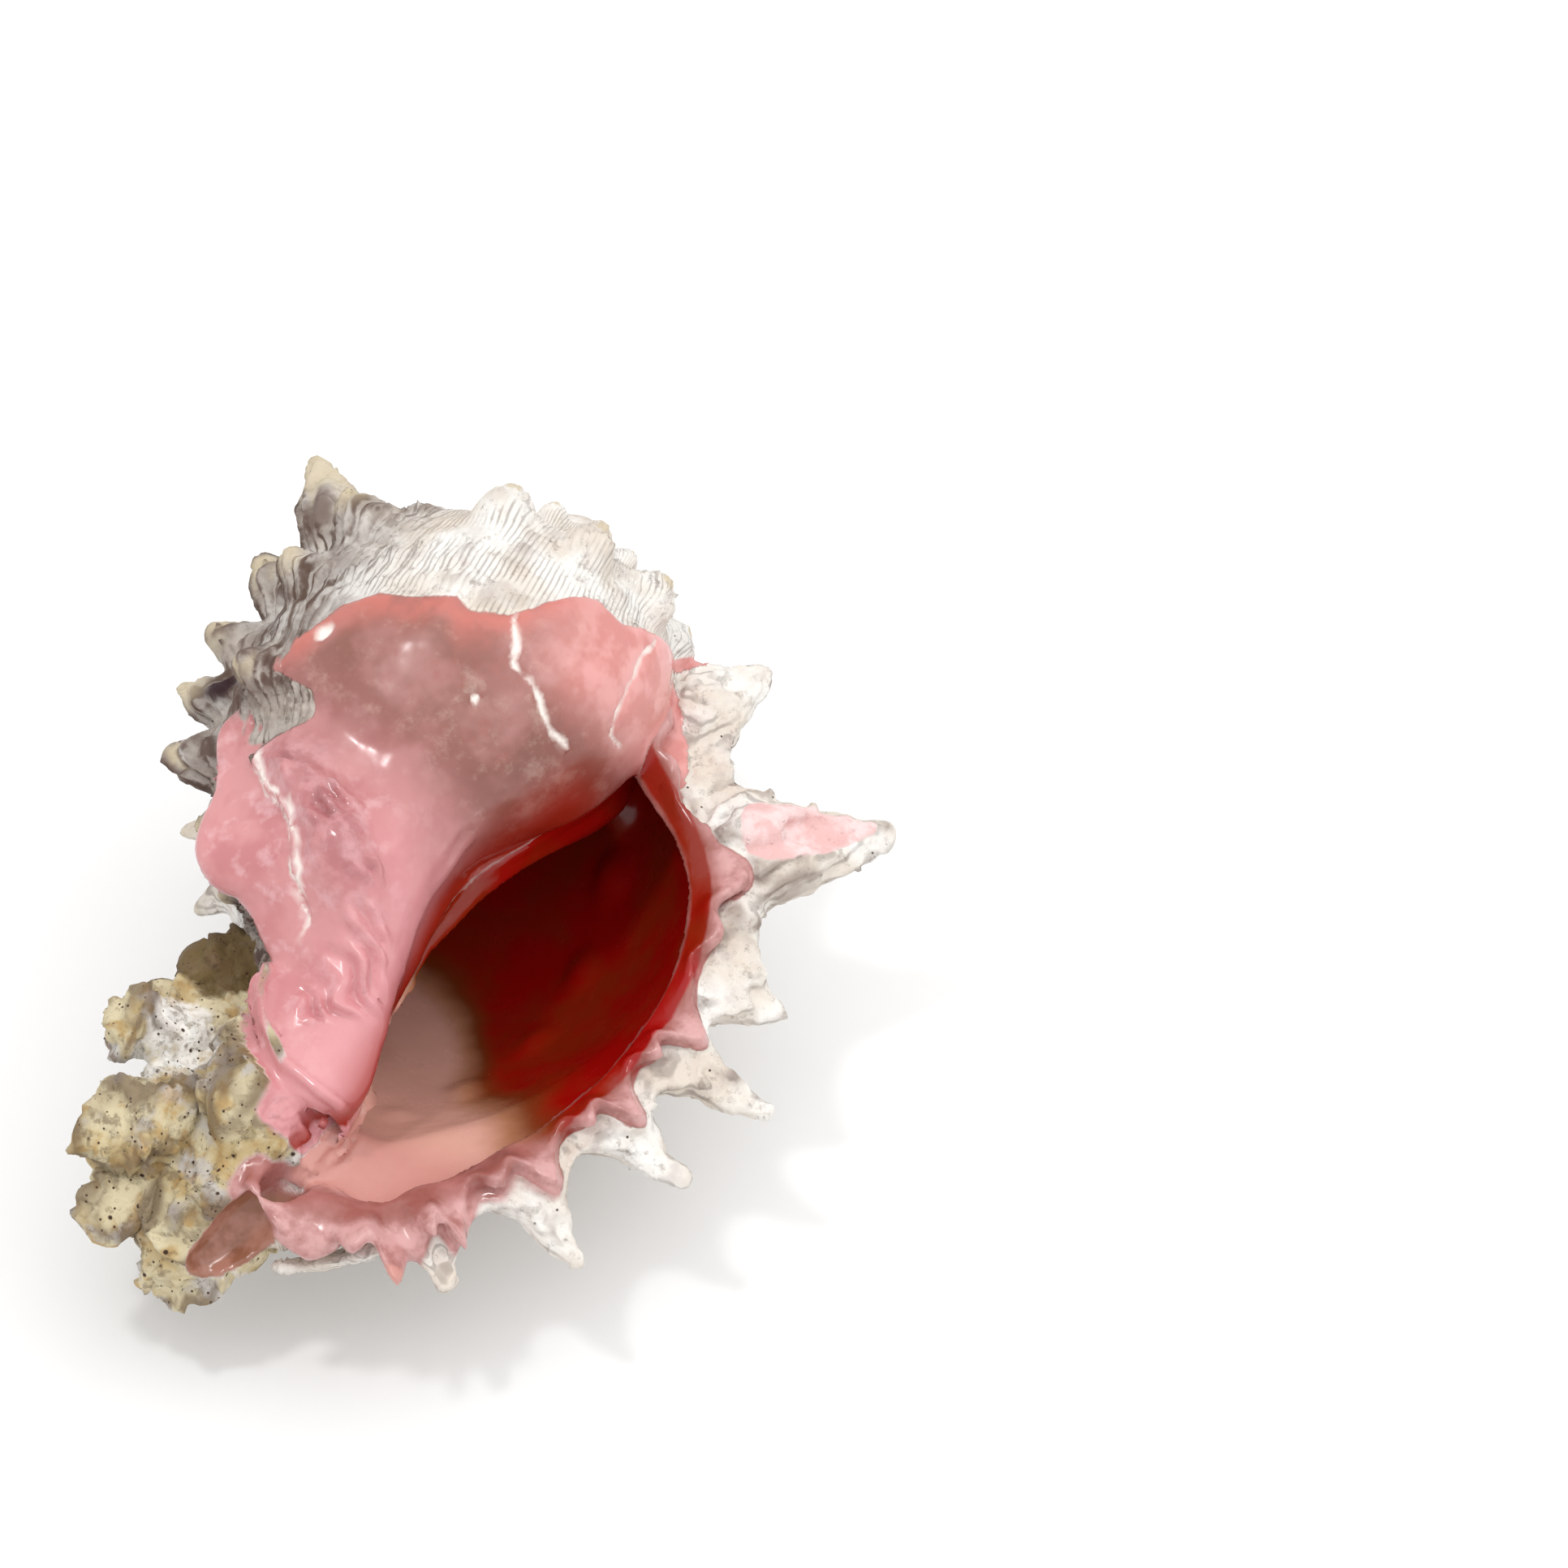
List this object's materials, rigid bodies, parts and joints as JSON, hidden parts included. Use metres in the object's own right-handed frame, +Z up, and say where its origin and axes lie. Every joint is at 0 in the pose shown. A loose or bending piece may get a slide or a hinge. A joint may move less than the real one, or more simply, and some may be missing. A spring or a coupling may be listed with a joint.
{
  "type": "murex shell",
  "caption": "Spiny sea-snail shell lying on its back, with a wide glossy mouth, a crenulated lip, rows of blunt spines and a short open canal.",
  "frame": {"origin": "centre of the bounding box at floor level, where the shell rests on the spines of its back", "axes": "+Z up, -Y towards the canal end and the front, +X towards the spine of the lip"},
  "size_m": [0.085, 0.1052, 0.0606],
  "materials": {
    "shell": "chalky outside, glossy pink callus and mouth"
  },
  "bodies": {
    "root": {"shell": "shell"}
  },
  "joints": []
}
